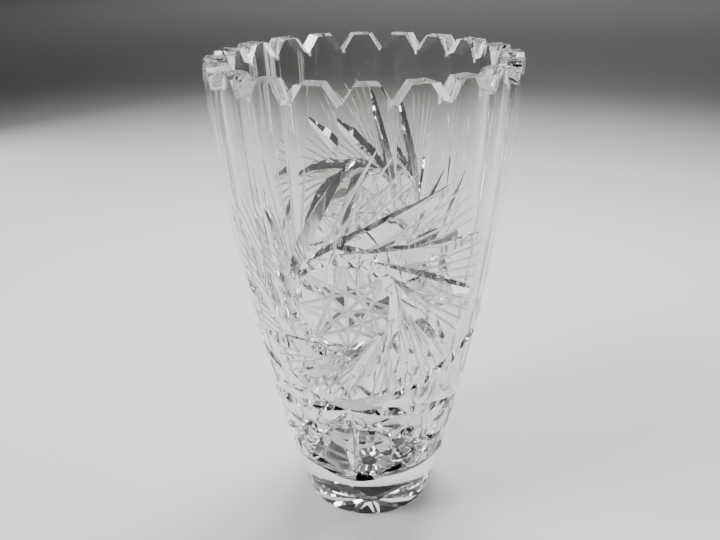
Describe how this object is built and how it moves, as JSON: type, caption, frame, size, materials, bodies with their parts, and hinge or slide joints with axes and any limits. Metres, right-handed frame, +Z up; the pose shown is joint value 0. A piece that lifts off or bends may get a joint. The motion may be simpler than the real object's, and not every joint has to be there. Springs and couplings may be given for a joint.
{
  "type": "cut crystal vase",
  "caption": "Tapering thick-walled glass vase with a toothed rim, flat wall panels, opposed pinwheel cuts, crossed swag grooves, a star band and a solid foot.",
  "frame": {"origin": "centre of the face the vase stands on", "axes": "+Z up the vase's axis; -Y is the side where one pinwheel is centred, the other pinwheel is on the +Y side"},
  "size_m": [0.1234, 0.1234, 0.205],
  "materials": {
    "crystal": "polished cut surfaces, fine cuts satin"
  },
  "bodies": {
    "root": {"foot": "crystal", "star_band": "crystal", "pinwheel_wall": "crystal", "panel_wall": "crystal", "toothed_rim": "crystal"}
  },
  "joints": []
}
